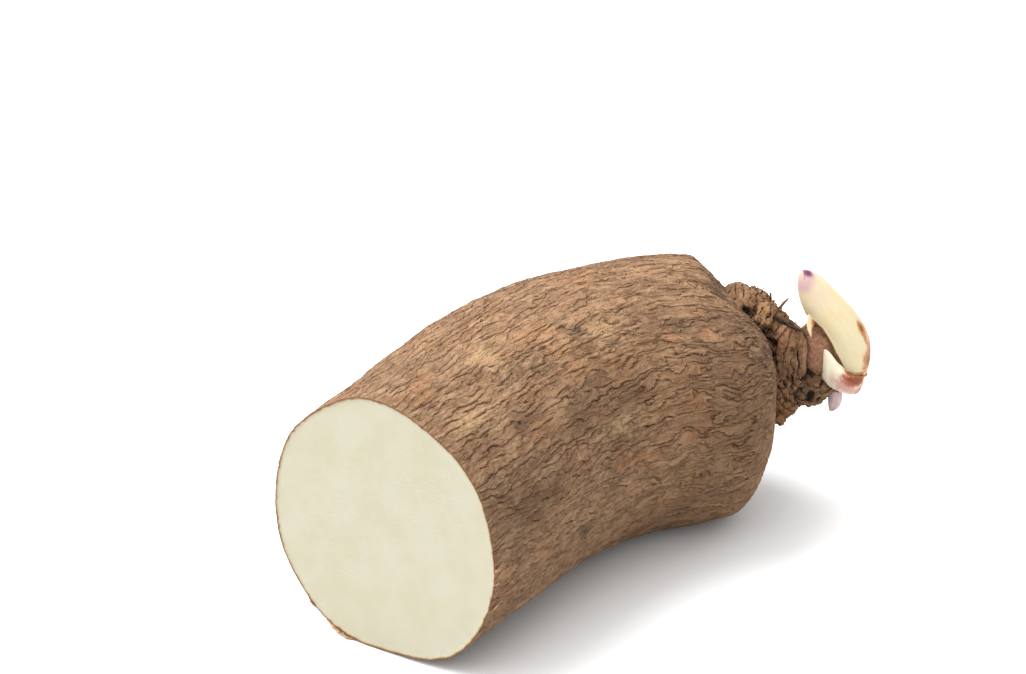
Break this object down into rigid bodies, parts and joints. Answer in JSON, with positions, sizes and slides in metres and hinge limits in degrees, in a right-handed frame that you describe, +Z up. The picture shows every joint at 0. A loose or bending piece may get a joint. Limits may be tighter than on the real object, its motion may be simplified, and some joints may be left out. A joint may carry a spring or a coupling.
{
  "type": "cut yam with a young shoot",
  "caption": "Cut half of a yam lying on its side: thick bent tuber with rough brown bark and a flat pale cut face, a woody crown at the far end and a curved pale shoot.",
  "frame": {"origin": "middle of the footprint box, on the surface that the yam lies on", "axes": "+Z up; +X along the yam's length, from the cut face towards the crown and shoot; the body bends in the XY plane"},
  "size_m": [0.2454, 0.1292, 0.1107],
  "materials": {
    "yam_bark": "dry, rough, cracked bark",
    "crown_bark": "dark, dry, scaly and fibrous",
    "shoot_skin": "smooth waxy cream, purple at the tip",
    "leaf_skin": "smooth cream with red-brown stains",
    "bud_skin": "smooth pale lilac",
    "root_fibre": "dry, wiry"
  },
  "bodies": {
    "root": {"tuber": "yam_bark", "crown": "crown_bark", "shoot": "shoot_skin", "scale_leaf": "leaf_skin", "root_bud": "bud_skin", "root_stub_1": "root_fibre", "root_stub_2": "root_fibre", "root_stub_3": "root_fibre"}
  },
  "joints": []
}
